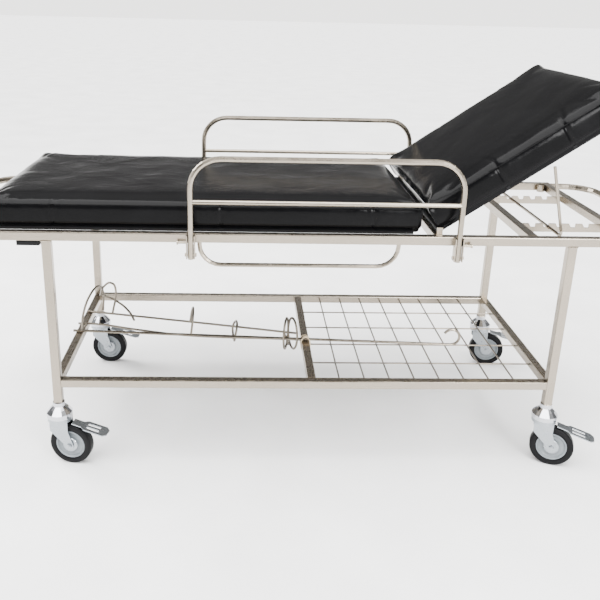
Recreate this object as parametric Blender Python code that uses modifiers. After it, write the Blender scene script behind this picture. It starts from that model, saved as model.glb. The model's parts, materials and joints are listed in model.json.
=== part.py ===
"""Stretcher trolley: tubular steel frame on four braked castors, with a fixed mattress,
a raised backrest on a rod prop, two fold-down side rails and a half-meshed lower shelf.

Metres, +Z up. +X points to the head end, -Y is the patient's left side.
The origin is on the floor, under the middle of the frame.
"""
import math

import bmesh
import bpy
from mathutils import Matrix, Vector

# Overall sizes
LEG_SPAN = 1.430            # between leg centres, along X
FRAME_WIDTH = 0.640         # between rail centres, along Y
FRAME_LENGTH = 1.800        # top rails, end to end
RAIL_BOTTOM = 0.687         # height of the top rails' underside
SHELF_BOTTOM = 0.246        # height of the shelf bars' underside
GAP = 0.0003                # between pieces that touch

# Square tube
TUBE = 0.025
TUBE_WALL = 0.0015
TUBE_CORNER = 0.0025

# Push handles
HANDLE_REACH = 0.140        # past the frame's end, to the bar's centre
HANDLE_RADIUS = 0.011
HANDLE_BEND = 0.095

# Cross bars
RACK_BAR_X = 0.610
SHELF_MID_X = 0.0165

# Shelf mesh
MESH_WIRE = 0.0025
MESH_FIRST = 0.0815         # first cross wire, from the middle bar
MESH_PITCH = 0.0738
MESH_CROSS_WIRES = 8
MESH_LONG_WIRES = 4
MESH_DROP = 0.0085          # cross wires' centres, below the shelf bars' top
WELD = 0.0006               # how far two welded wires sink into each other

# Backrest
HINGE_X = 0.350
HINGE_ABOVE_RAIL = 0.0095
HINGE_ROD = 0.005
HINGE_CLEARANCE = 0.0004
BARREL_WALL = 0.0026
BACK_TILT = 34.5            # degrees above level as it stands
BOARD_THICKNESS = 0.010
BACK_LENGTH = 0.615
CUSHION_WIDTH = 0.644
CUSHION_THICKNESS = 0.078
BACK_CUSHION_INSET = 0.022  # of the board, from the cushion's edges

# Flat mattress
MATTRESS_HEAD_X = 0.300
MATTRESS_FOOT_X = -0.902
PANEL_THICKNESS = 0.006
PANEL_INSET = 0.012
CUSHION_ROUND = 0.016
CUSHION_CORNER = 0.045      # in plan

# Prop and its racks
RACK_Y = 0.160
RACK_THICKNESS = 0.004
RACK_HEIGHT = 0.0255
RACK_TOP_DROP = 0.0085      # tooth tips, below the rails' top
TOOTH_HEIGHT = 0.011
TOOTH_PITCH = 0.040
NOTCH_WIDTH = 0.013
TOOTH_SLOPE = 0.007
PROP_NOTCH_X = 0.705
PROP_ROD = 0.0045
PROP_Y = 0.270
PROP_HEAD_X = 0.657
PROP_LENGTH = 0.2053
PROP_BEND = 0.018

# Side rails
SIDE_CENTRE_X = 0.033
SIDE_SPAN = 0.722
SIDE_RADIUS = 0.008
SIDE_BEND = 0.080
SIDE_TOP_ABOVE_RAIL = 0.2065
SIDE_MID_ABOVE_RAIL = 0.091
SIDE_MID_RADIUS = 0.0062
SIDE_FOOT_DROP = 0.042      # foot of the post, below the top rail's underside
PIVOT_DROP = 0.030
LOCK_RISE = 0.004           # lock pin, above the top rail's underside
PIVOT_RADIUS = 0.003
PIN_RADIUS = 0.003
PIN_CLEARANCE = 0.0004
BRACKET_PLATE = 0.003
POST_CLEARANCE = 0.0008
EAR_OUT = 0.0095            # ear's edge, past the post's axis
PIN_LENGTH = 0.026
KNOB_LENGTH = 0.004
BOLT_HEAD = 0.0055
BOLT_HEAD_LENGTH = 0.004

# Accessory rails
ACCESSORY_CENTRE_X = -0.035
ACCESSORY_SPAN = 0.542
ACCESSORY_DROP = 0.066
ACCESSORY_RADIUS = 0.0063
ACCESSORY_BEND = 0.058

# IV pole socket
SOCKET_RADIUS = 0.0130
SOCKET_WALL = 0.0015

# IV pole and oxygen cylinder cage, stowed on the shelf
POLE_RADIUS = 0.0045
POLE_FOOT = (-0.735, -0.012)
POLE_HEAD = (0.480, -0.095)
POLE_HOOK = 0.026
CAGE_WIRE = 0.0028
CAGE_RADIUS = 0.058
CAGE_FOOT = (-0.735, 0.085)
CAGE_HEAD = (0.000, 0.005)
CAGE_LIFT = 0.024           # hoops' centre, above the shelf bars' top
CAGE_HOOPS = (0.08, 0.46, 0.72, 0.90, 0.972)

# Castors
WHEEL_RADIUS = 0.0625
WHEEL_WIDTH = 0.030
RIM_RADIUS = 0.0435
HUB_WIDTH = 0.026
BOSS_RADIUS = 0.013
BOSS_STANDOFF = 0.002       # hub boss past the tyre's side
WEB_SINK = 0.004
RIM_LIP = 0.006
AXLE_RADIUS = 0.004
AXLE_CLEARANCE = 0.0004
TRAIL = 0.032
FORK_PLATE = 0.0025
FORK_GAP = 0.0035           # fork plate to tyre
FORK_CROWN_TOP = 0.1500
FORK_CROWN_RADIUS = 0.0350
FORK_CROWN_DEPTH = 0.012
FORK_FRONT = 0.030
FORK_BACK = -0.025
FORK_BEND_Z = 0.108
FORK_FOOT = 0.013
FORK_TOE = 0.009
FORK_FOOT_DROP = 0.011
NUT_LENGTH = 0.004
NUT_RADIUS = 0.0075
AXLE_STUB = 0.001
RACE_RADIUS = 0.0370
RACE_NECK = 0.0170
RACE_NECK_LENGTH = 0.012
RACE_SHOULDER = 0.0266
RACE_SHOULDER_DROP = 0.020
RACE_SKIRT = 0.014
LEG_BOTTOM = 0.196
STEM_RADIUS = 0.0098
STEM_LENGTH = 0.035
PEDAL_PIVOT_X = 0.030
PEDAL_LENGTH = 0.118
PEDAL_WIDTH = 0.046
PEDAL_PLATE = 0.003
PEDAL_NECK = 0.040          # where the arm widens into the tread
PEDAL_ARM = 0.014           # half of the arm's width
PEDAL_CORNER = 0.010
PEDAL_TREAD = 0.026         # solid tip past the slots
PEDAL_DROP = 0.001
PEDAL_DIP = 14              # degrees
SLOT_INNER = 0.004
SLOT_OUTER = 0.013
CASTOR_TURN = {"foot_left": -11, "foot_right": -5, "head_left": -22, "head_right": -10}

# Derived places
RAIL_TOP = RAIL_BOTTOM + TUBE
RAIL_MID = RAIL_BOTTOM + TUBE / 2
RAIL_OUT = FRAME_WIDTH / 2 + TUBE / 2
RAIL_IN = FRAME_WIDTH / 2 - TUBE / 2
SHELF_TOP = SHELF_BOTTOM + TUBE
SHELF_MID = SHELF_BOTTOM + TUBE / 2
END_BAR_X = FRAME_LENGTH / 2 - TUBE / 2
LEG_X = LEG_SPAN / 2
LEG_Y = FRAME_WIDTH / 2
HINGE_Z = RAIL_TOP + HINGE_ABOVE_RAIL
HINGE_BAR_X = HINGE_X - 0.004
SIDE_Y = RAIL_OUT + GAP + BRACKET_PLATE + POST_CLEARANCE + SIDE_RADIUS
SIDE_FOOT_Z = RAIL_BOTTOM - SIDE_FOOT_DROP
PIVOT_Z = RAIL_BOTTOM - PIVOT_DROP
LOCK_Z = RAIL_BOTTOM + LOCK_RISE
NOTCH_Z = RAIL_TOP - RACK_TOP_DROP - TOOTH_HEIGHT
PROP_Z = NOTCH_Z + PROP_ROD + GAP

SIDES = {"left": -1, "right": 1}
ENDS = {"foot": -1, "head": 1}


def clear_scene():
    for thing in list(bpy.data.objects):
        bpy.data.objects.remove(thing, do_unlink=True)


def new_collection(name):
    group = bpy.data.collections.new(name)
    bpy.context.scene.collection.children.link(group)
    return group


def make_material(name, colour, roughness, metallic):
    material = bpy.data.materials.new(name)
    material.use_nodes = True
    shader = material.node_tree.nodes["Principled BSDF"]
    shader.inputs["Base Color"].default_value = (*colour, 1.0)
    shader.inputs["Roughness"].default_value = roughness
    shader.inputs["Metallic"].default_value = metallic
    return material


clear_scene()
PARTS = new_collection("stretcher_trolley")
CUTTERS = new_collection("cutters")
STEEL = make_material("stainless_steel", (0.66, 0.62, 0.56), 0.28, 1.0)
CHROME = make_material("chrome", (0.78, 0.78, 0.78), 0.10, 1.0)
ZINC = make_material("zinc_plate", (0.72, 0.75, 0.78), 0.32, 0.9)
VINYL = make_material("black_vinyl", (0.012, 0.012, 0.013), 0.25, 0.0)
BOARD = make_material("black_board", (0.03, 0.03, 0.03), 0.6, 0.0)
TYRE = make_material("tyre_rubber", (0.02, 0.02, 0.022), 0.6, 0.0)
HUB = make_material("hub_plastic", (0.55, 0.57, 0.60), 0.4, 0.0)


def place(thing, material=None, group=None):
    """Links the object to its collection only, and gives it its material."""
    for old in list(thing.users_collection):
        old.objects.unlink(thing)
    (group or PARTS).objects.link(thing)
    if material:
        thing.data.materials.clear()
        thing.data.materials.append(material)
    return thing


def new_mesh_object(name, bm, material, group=None):
    mesh = bpy.data.meshes.new(name)
    bm.to_mesh(mesh)
    bm.free()
    return place(bpy.data.objects.new(name, mesh), material, group)


def smooth(thing, angle=35):
    thing.data.shade_smooth()
    thing.data.set_sharp_from_angle(angle=math.radians(angle))


def as_mesh(thing):
    """The evaluated object as a plain mesh object of the same name, with its caps welded."""
    bpy.context.view_layer.update()
    name = thing.name
    mesh = bpy.data.meshes.new_from_object(thing.evaluated_get(bpy.context.evaluated_depsgraph_get()))
    bm = bmesh.new()
    bm.from_mesh(mesh)
    bmesh.ops.remove_doubles(bm, verts=bm.verts, dist=1e-6)
    bm.to_mesh(mesh)
    bm.free()
    placed = thing.matrix_world.copy()
    group = thing.users_collection[0]
    bpy.data.objects.remove(thing, do_unlink=True)
    result = bpy.data.objects.new(name, mesh)
    result.name = name
    result.matrix_world = placed
    group.objects.link(result)
    return result


def box(name, low, high, material, bevel=0.0, group=None):
    """A box between two corners, with its origin at its centre."""
    low = Vector(low)
    high = Vector(high)
    bm = bmesh.new()
    bmesh.ops.create_cube(bm, size=1.0)
    bmesh.ops.scale(bm, vec=high - low, verts=bm.verts)
    thing = new_mesh_object(name, bm, material, group)
    thing.location = (low + high) / 2
    if bevel:
        rounding = thing.modifiers.new("edges", "BEVEL")
        rounding.width = bevel
        rounding.segments = 2
    return thing


def rod(name, start, end, radius, material, sides=16, group=None):
    """A solid round bar between two points."""
    start = Vector(start)
    end = Vector(end)
    bm = bmesh.new()
    bmesh.ops.create_cone(
        bm, cap_ends=True, segments=sides, radius1=radius, radius2=radius, depth=(end - start).length
    )
    thing = new_mesh_object(name, bm, material, group)
    thing.rotation_mode = "QUATERNION"
    thing.rotation_quaternion = (end - start).to_track_quat("Z", "Y")
    thing.location = (start + end) / 2
    return thing


def fillet_path(corners, bend, steps=6):
    """Points along a polyline whose inner corners are rounded to the bend radius."""
    corners = [Vector(c) for c in corners]
    points = [corners[0]]
    for before, here, after in zip(corners, corners[1:], corners[2:]):
        back = (before - here).normalized()
        ahead = (after - here).normalized()
        half = back.angle(ahead) / 2
        inset = bend / math.tan(half)
        middle = here + (back + ahead).normalized() * (bend / math.sin(half))
        first = here + back * inset - middle
        last = here + ahead * inset - middle
        turn = first.angle(last)
        for i in range(steps + 1):
            share = i / steps
            a = math.sin((1 - share) * turn) / math.sin(turn)
            b = math.sin(share * turn) / math.sin(turn)
            points.append(middle + first * a + last * b)
    points.append(corners[-1])
    return points


def round_tube(name, points, radius, material, cyclic=False, resolution=2):
    """A round bar or tube along the points."""
    curve = bpy.data.curves.new(name, "CURVE")
    curve.dimensions = "3D"
    curve.bevel_depth = radius
    curve.bevel_resolution = resolution
    curve.use_fill_caps = True
    line = curve.splines.new("POLY")
    line.points.add(len(points) - 1)
    for spot, point in zip(line.points, points):
        spot.co = (*point, 1.0)
    line.use_cyclic_u = cyclic
    return place(bpy.data.objects.new(name, curve), material)


def outline_plate(name, outlines, thickness, material, group=None):
    """A flat plate in its own XY plane from closed outlines; the later ones are holes."""
    curve = bpy.data.curves.new(name, "CURVE")
    curve.dimensions = "2D"
    curve.fill_mode = "BOTH"
    curve.extrude = thickness / 2
    for outline in outlines:
        line = curve.splines.new("POLY")
        line.points.add(len(outline) - 1)
        for spot, point in zip(line.points, outline):
            spot.co = (point[0], point[1], 0.0, 1.0)
        line.use_cyclic_u = True
    return place(bpy.data.objects.new(name, curve), material, group)


def rounded_square(half, corner, steps=2):
    points = []
    for quarter in range(4):
        start = quarter * math.pi / 2
        middle = Matrix.Rotation(start, 2) @ Vector((half - corner, half - corner))
        for i in range(steps + 1):
            angle = start + i / steps * math.pi / 2
            points.append((middle.x + corner * math.cos(angle), middle.y + corner * math.sin(angle)))
    return points


def square_tube(name, start, end):
    """A square stainless tube between the centres of its two cut ends."""
    start = Vector(start)
    end = Vector(end)
    outer = rounded_square(TUBE / 2, TUBE_CORNER)
    inner = rounded_square(TUBE / 2 - TUBE_WALL, TUBE_CORNER - TUBE_WALL, 1)
    thing = outline_plate(name, [outer, inner], (end - start).length, STEEL)
    thing.rotation_mode = "QUATERNION"
    thing.rotation_quaternion = (end - start).to_track_quat("Z", "Y")
    thing.location = (start + end) / 2
    return thing


def turned(name, profile, material, steps=32, group=None):
    """A solid or ring of revolution about Z; the profile runs top to bottom down the outer side."""
    bm = bmesh.new()
    spots = [bm.verts.new((x, 0.0, z)) for x, z in profile]
    for a, b in zip(spots, spots[1:] + spots[:1]):
        if a.co.x > 0 or b.co.x > 0:
            bm.edges.new((a, b))
    thing = new_mesh_object(name, bm, material, group)
    spin = thing.modifiers.new("turn", "SCREW")
    spin.steps = steps
    spin.render_steps = steps
    spin.use_merge_vertices = True
    spin.merge_threshold = 0.00001
    return thing


def weld_together(name, pieces, cuts=(), material=None):
    """One body from overlapping pieces, with the cutters taken away."""
    body = as_mesh(pieces[0])
    for piece in list(pieces[1:]) + list(cuts):
        other = as_mesh(piece)
        step = body.modifiers.new("join", "BOOLEAN")
        step.operation = "DIFFERENCE" if piece in cuts else "UNION"
        step.solver = "EXACT"
        step.object = other
        body = as_mesh(body)
        bpy.data.objects.remove(other, do_unlink=True)
    body.name = name
    if material:
        place(body, material)
    return body


def ring(centre, radius, steps):
    turns = [2 * math.pi * i / steps for i in range(steps)]
    return [(centre[0] + radius * math.cos(turn), centre[1] + radius * math.sin(turn)) for turn in turns]


def build_frame():
    half = FRAME_LENGTH / 2
    across = RAIL_IN - GAP
    for side, sign in SIDES.items():
        y = sign * FRAME_WIDTH / 2
        square_tube(f"{side}_top_rail", (-half, y, RAIL_MID), (half, y, RAIL_MID))
    for end, sign in ENDS.items():
        x = sign * END_BAR_X
        square_tube(f"{end}_cross_bar", (x, -across, RAIL_MID), (x, across, RAIL_MID))
        y = FRAME_WIDTH / 2
        near = half + GAP
        far = half + HANDLE_REACH
        corners = [(near, -y, RAIL_MID), (far, -y, RAIL_MID), (far, y, RAIL_MID), (near, y, RAIL_MID)]
        path = [(sign * p.x, p.y, p.z) for p in fillet_path(corners, HANDLE_BEND)]
        smooth(as_mesh(round_tube(f"{end}_push_handle", path, HANDLE_RADIUS, STEEL)))
        for side, across_sign in SIDES.items():
            x = sign * LEG_X
            y = across_sign * LEG_Y
            square_tube(f"{end}_{side}_leg", (x, y, LEG_BOTTOM), (x, y, RAIL_BOTTOM - GAP))
    square_tube("rack_cross_bar", (RACK_BAR_X, -across, RAIL_MID), (RACK_BAR_X, across, RAIL_MID))


def build_shelf():
    along = LEG_X - TUBE / 2 - GAP
    across = LEG_Y - TUBE / 2 - GAP
    for side, sign in SIDES.items():
        y = sign * LEG_Y
        square_tube(f"{side}_shelf_bar", (-along, y, SHELF_MID), (along, y, SHELF_MID))
    for end, sign in ENDS.items():
        x = sign * LEG_X
        square_tube(f"{end}_shelf_bar", (x, -across, SHELF_MID), (x, across, SHELF_MID))
    square_tube("middle_shelf_bar", (SHELF_MID_X, -across, SHELF_MID), (SHELF_MID_X, across, SHELF_MID))
    cross_z = SHELF_TOP - MESH_DROP
    long_z = cross_z - 2 * MESH_WIRE + WELD
    wires = []
    start = SHELF_MID_X + TUBE / 2 + GAP
    for i in range(MESH_LONG_WIRES):
        y = FRAME_WIDTH * ((i + 1) / (MESH_LONG_WIRES + 1) - 0.5)
        wires.append(rod(f"long_{i}", (start, y, long_z), (along, y, long_z), MESH_WIRE, STEEL, 8))
    for i in range(MESH_CROSS_WIRES):
        x = SHELF_MID_X + MESH_FIRST + MESH_PITCH * i
        wires.append(rod(f"cross_{i}", (x, -across, cross_z), (x, across, cross_z), MESH_WIRE, STEEL, 8))
    smooth(weld_together("shelf_mesh", wires[MESH_LONG_WIRES:MESH_LONG_WIRES + 1] + wires[:MESH_LONG_WIRES]
                         + wires[MESH_LONG_WIRES + 1:]))


def build_racks():
    start = RACK_BAR_X + TUBE / 2 + GAP
    stop = END_BAR_X - TUBE / 2 - GAP
    low = NOTCH_Z + TOOTH_HEIGHT - RACK_HEIGHT
    tip = NOTCH_Z + TOOTH_HEIGHT
    outline = [(start, low), (stop, low), (stop, tip)]
    notches = [PROP_NOTCH_X + TOOTH_PITCH * i for i in range(-1, 5)]
    notches = [x for x in notches if start + NOTCH_WIDTH < x < stop - NOTCH_WIDTH]
    for x in reversed(notches):
        outline += [
            (x + NOTCH_WIDTH / 2, tip),
            (x + NOTCH_WIDTH / 2, NOTCH_Z),
            (x - NOTCH_WIDTH / 2, NOTCH_Z),
            (x - NOTCH_WIDTH / 2 - TOOTH_SLOPE, tip),
        ]
    outline.append((start, tip))
    for side, sign in SIDES.items():
        rack = outline_plate(f"{side}_ratchet_rack", [outline], RACK_THICKNESS, STEEL)
        rack.rotation_euler = (math.pi / 2, 0, 0)
        rack.location = (0, sign * RACK_Y, 0)


def build_prop():
    rise = math.sqrt(PROP_LENGTH ** 2 - (PROP_HEAD_X - PROP_NOTCH_X) ** 2)
    head = (PROP_HEAD_X - PROP_NOTCH_X, rise)
    corners = [(head[0], -PROP_Y, head[1]), (0, -PROP_Y, 0), (0, PROP_Y, 0), (head[0], PROP_Y, head[1])]
    prop = as_mesh(round_tube("prop_bail", fillet_path(corners, PROP_BEND, 4), PROP_ROD, STEEL))
    prop.location = (PROP_NOTCH_X, 0, PROP_Z)
    smooth(prop)


def build_socket():
    x = END_BAR_X - TUBE / 2 - GAP - SOCKET_RADIUS
    y = RAIL_IN - GAP - SOCKET_RADIUS
    outer = ring((0, 0), SOCKET_RADIUS, 24)
    inner = ring((0, 0), SOCKET_RADIUS - SOCKET_WALL, 24)
    socket = outline_plate("iv_pole_socket", [outer, inner], TUBE, STEEL)
    socket.location = (x, y, RAIL_MID)
    smooth(as_mesh(socket))


def build_accessory_rails():
    left = ACCESSORY_CENTRE_X - ACCESSORY_SPAN / 2
    right = ACCESSORY_CENTRE_X + ACCESSORY_SPAN / 2
    top = RAIL_BOTTOM - GAP
    low = RAIL_BOTTOM - ACCESSORY_DROP
    for side, sign in SIDES.items():
        y = sign * FRAME_WIDTH / 2
        path = fillet_path([(left, y, top), (left, y, low), (right, y, low), (right, y, top)], ACCESSORY_BEND)
        smooth(as_mesh(round_tube(f"{side}_accessory_rail", path, ACCESSORY_RADIUS, STEEL)))


def build_side_rails():
    """Each side rail's origin is on its pivot axis."""
    half = SIDE_SPAN / 2
    ear_x = SIDE_RADIUS + POST_CLEARANCE
    for side, sign in SIDES.items():
        y = sign * SIDE_Y
        foot = SIDE_FOOT_Z - PIVOT_Z
        top = RAIL_TOP + SIDE_TOP_ABOVE_RAIL - PIVOT_Z
        middle = RAIL_TOP + SIDE_MID_ABOVE_RAIL - PIVOT_Z
        path = fillet_path([(-half, 0, foot), (-half, 0, top), (half, 0, top), (half, 0, foot)], SIDE_BEND, 8)
        hoop = round_tube("hoop", path, SIDE_RADIUS, STEEL)
        bar = rod("bar", (-half, 0, middle), (half, 0, middle), SIDE_MID_RADIUS, STEEL, 12)
        cuts = []
        for x in (-half, half):
            for height in (0.0, LOCK_Z - PIVOT_Z):
                reach = SIDE_RADIUS * 2
                cuts.append(rod("hole", (x - reach, 0, height), (x + reach, 0, height),
                                PIVOT_RADIUS + PIN_CLEARANCE, STEEL, 12, CUTTERS))
        rail = weld_together(f"{side}_side_rail", [hoop, bar], cuts, STEEL)
        rail.location = (SIDE_CENTRE_X, y, PIVOT_Z)
        smooth(rail)
        for end, along in ENDS.items():
            x = SIDE_CENTRE_X + along * half
            inner = sign * (RAIL_OUT + GAP)
            outer = sign * (SIDE_Y + EAR_OUT)
            wide = ear_x + BRACKET_PLATE
            back = inner + sign * BRACKET_PLATE
            channel = [(x - wide, inner), (x + wide, inner), (x + wide, outer), (x + ear_x, outer),
                       (x + ear_x, back), (x - ear_x, back), (x - ear_x, outer), (x - wide, outer)]
            low = PIVOT_Z - EAR_OUT
            high = RAIL_TOP - GAP
            bracket = outline_plate("channel", [channel], high - low, STEEL)
            bracket.location = (0, 0, (low + high) / 2)
            mouth = box("mouth", (x - ear_x, min(inner, back) - 0.001, low - 0.001),
                        (x + ear_x, max(inner, back) + 0.001, RAIL_BOTTOM + GAP), STEEL, group=CUTTERS)
            pieces = [bracket]
            reach = ear_x + BRACKET_PLATE + BOLT_HEAD_LENGTH
            shank = reach - BOLT_HEAD_LENGTH / 2
            pieces.append(rod("bolt", (x - shank, y, PIVOT_Z), (x + shank, y, PIVOT_Z), PIVOT_RADIUS, STEEL, 12))
            for way in (-1, 1):
                seat = x + way * (ear_x + BRACKET_PLATE / 2)
                pieces.append(rod("head", (seat, y, PIVOT_Z), (x + way * reach, y, PIVOT_Z), BOLT_HEAD, STEEL, 6))
            hole = rod("hole", (x - 2 * reach, y, LOCK_Z), (x + 2 * reach, y, LOCK_Z),
                       PIN_RADIUS + PIN_CLEARANCE, STEEL, 12, CUTTERS)
            weld_together(f"{side}_{end}_rail_bracket", pieces, [mouth, hole], STEEL)
            tip = x + along * (ear_x + GAP)
            tail = tip + along * PIN_LENGTH
            edge = along * KNOB_LENGTH / 2
            pin = rod("pin", (tip, y, LOCK_Z), (tail, y, LOCK_Z), PIN_RADIUS, STEEL, 12)
            knob = rod("knob", (tail - edge, y, LOCK_Z), (tail + edge, y, LOCK_Z), BOLT_HEAD, STEEL, 12)
            weld_together(f"{side}_{end}_lock_pin", [pin, knob], (), STEEL)


def build_flat_mattress():
    across = CUSHION_WIDTH / 2
    low = RAIL_TOP + GAP
    box("mattress_base_panel",
        (MATTRESS_FOOT_X + PANEL_INSET, -across + PANEL_INSET, low),
        (MATTRESS_HEAD_X - PANEL_INSET * 2, across - PANEL_INSET, low + PANEL_THICKNESS), BOARD)
    bottom = low + PANEL_THICKNESS + GAP
    cushion_block("flat_mattress", MATTRESS_FOOT_X, MATTRESS_HEAD_X, bottom, VINYL)


def cushion_block(name, start, stop, bottom, material):
    """A plain rounded pad, with its plan corners rounded more than its edges."""
    across = CUSHION_WIDTH / 2
    outline = []
    spots = ((stop, across, 0), (start, across, 1), (start, -across, 2), (stop, -across, 3))
    for x, y, quarter in spots:
        inward_x = -CUSHION_CORNER if x == stop else CUSHION_CORNER
        inward_y = -CUSHION_CORNER if y > 0 else CUSHION_CORNER
        for i in range(5):
            angle = (quarter + i / 4) * math.pi / 2
            outline.append((x + inward_x + CUSHION_CORNER * math.cos(angle),
                            y + inward_y + CUSHION_CORNER * math.sin(angle)))
    pad = outline_plate("pad", [outline], CUSHION_THICKNESS, material)
    pad.location = (0, 0, bottom + CUSHION_THICKNESS / 2)
    pad = as_mesh(pad)
    pad.name = name
    rounding = pad.modifiers.new("edges", "BEVEL")
    rounding.width = CUSHION_ROUND
    rounding.segments = 3
    rounding.limit_method = "ANGLE"
    rounding.angle_limit = math.radians(60)
    place(pad, material)
    smooth(pad, 50)
    return pad


def build_backrest():
    """Built level about the hinge axis, then turned up to its tilt."""
    across = CUSHION_WIDTH / 2
    barrel_radius = HINGE_ROD + HINGE_CLEARANCE + BARREL_WALL
    board_half = across - BACK_CUSHION_INSET
    board = box("board", (HINGE_ROD + HINGE_CLEARANCE + 0.0008, -board_half, -BOARD_THICKNESS / 2),
                (BACK_LENGTH - BACK_CUSHION_INSET, board_half, BOARD_THICKNESS / 2), BOARD)
    barrel = outline_plate("barrel", [ring((0, 0), barrel_radius, 20)], 2 * board_half, BOARD)
    barrel.rotation_euler = (math.pi / 2, 0, 0)
    bore = rod("bore", (0, -across, 0), (0, across, 0), HINGE_ROD + HINGE_CLEARANCE, BOARD, 20, CUTTERS)
    board = weld_together("backrest_board", [board, barrel], [bore], BOARD)
    cushion = cushion_block("backrest_cushion", 0.0, BACK_LENGTH,
                            max(barrel_radius, BOARD_THICKNESS / 2) + GAP, VINYL)
    pivot = bpy.data.objects.new("backrest_pivot", None)
    place(pivot)
    pivot.location = (HINGE_X, 0, HINGE_Z)
    pivot.rotation_euler = (0, -math.radians(BACK_TILT), 0)
    board.parent = pivot
    cushion.parent = pivot
    rod_end = board_half + 0.003
    pieces = [rod("rod", (HINGE_X, -rod_end, HINGE_Z), (HINGE_X, rod_end, HINGE_Z), HINGE_ROD, STEEL, 20)]
    across_bar = RAIL_IN - GAP
    for y in (-1, 1):
        ys = sorted((y * (board_half + 0.001), y * (board_half + 0.004)))
        pieces.append(box("lug", (HINGE_X - 0.008, ys[0], RAIL_TOP - WELD), (HINGE_X + 0.008, ys[1], HINGE_Z + 0.008),
                          STEEL))
    bar = square_tube("bar", (HINGE_BAR_X, -across_bar, RAIL_MID), (HINGE_BAR_X, across_bar, RAIL_MID))
    weld_together("backrest_hinge_bar", [bar, *pieces], (), STEEL)


def build_stowed_gear():
    """The IV pole and the oxygen cylinder cage lie on the foot half of the shelf."""
    rest = SHELF_TOP + POLE_RADIUS + GAP
    foot = Vector((*POLE_FOOT, rest))
    head = Vector((*POLE_HEAD, rest))
    hook = [head + Vector((POLE_HOOK * math.sin(a), 0, POLE_HOOK * (1 - math.cos(a))))
            for a in [math.radians(20 * i) for i in range(1, 13)]]
    smooth(as_mesh(round_tube("iv_pole", [foot, head, *hook], POLE_RADIUS, STEEL)))
    start = Vector((*CAGE_FOOT, SHELF_TOP + CAGE_LIFT))
    end = Vector((*CAGE_HEAD, SHELF_TOP + CAGE_LIFT))
    along = (end - start).normalized()
    side = along.cross(Vector((0, 0, 1)))
    drop = Vector((0, 0, -CAGE_LIFT + CAGE_WIRE + GAP))
    reach = math.sqrt(CAGE_RADIUS ** 2 - drop.z ** 2)
    pieces = []
    for way in (-1, 1):
        offset = side * reach * way + drop
        pieces.append(round_tube(f"rod_{way}", [start + offset, end + offset], CAGE_WIRE, STEEL,
                                 resolution=1))
    for share in CAGE_HOOPS:
        centre = start.lerp(end, share)
        circle = [centre + side * CAGE_RADIUS * math.cos(a) + Vector((0, 0, CAGE_RADIUS * math.sin(a)))
                  for a in [2 * math.pi * (i + 0.5) / 14 for i in range(14)]]
        pieces.append(round_tube(f"hoop_{share}", circle, CAGE_WIRE, STEEL, True, 1))
    smooth(weld_together("oxygen_cylinder_cage", pieces, (), STEEL))


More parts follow.
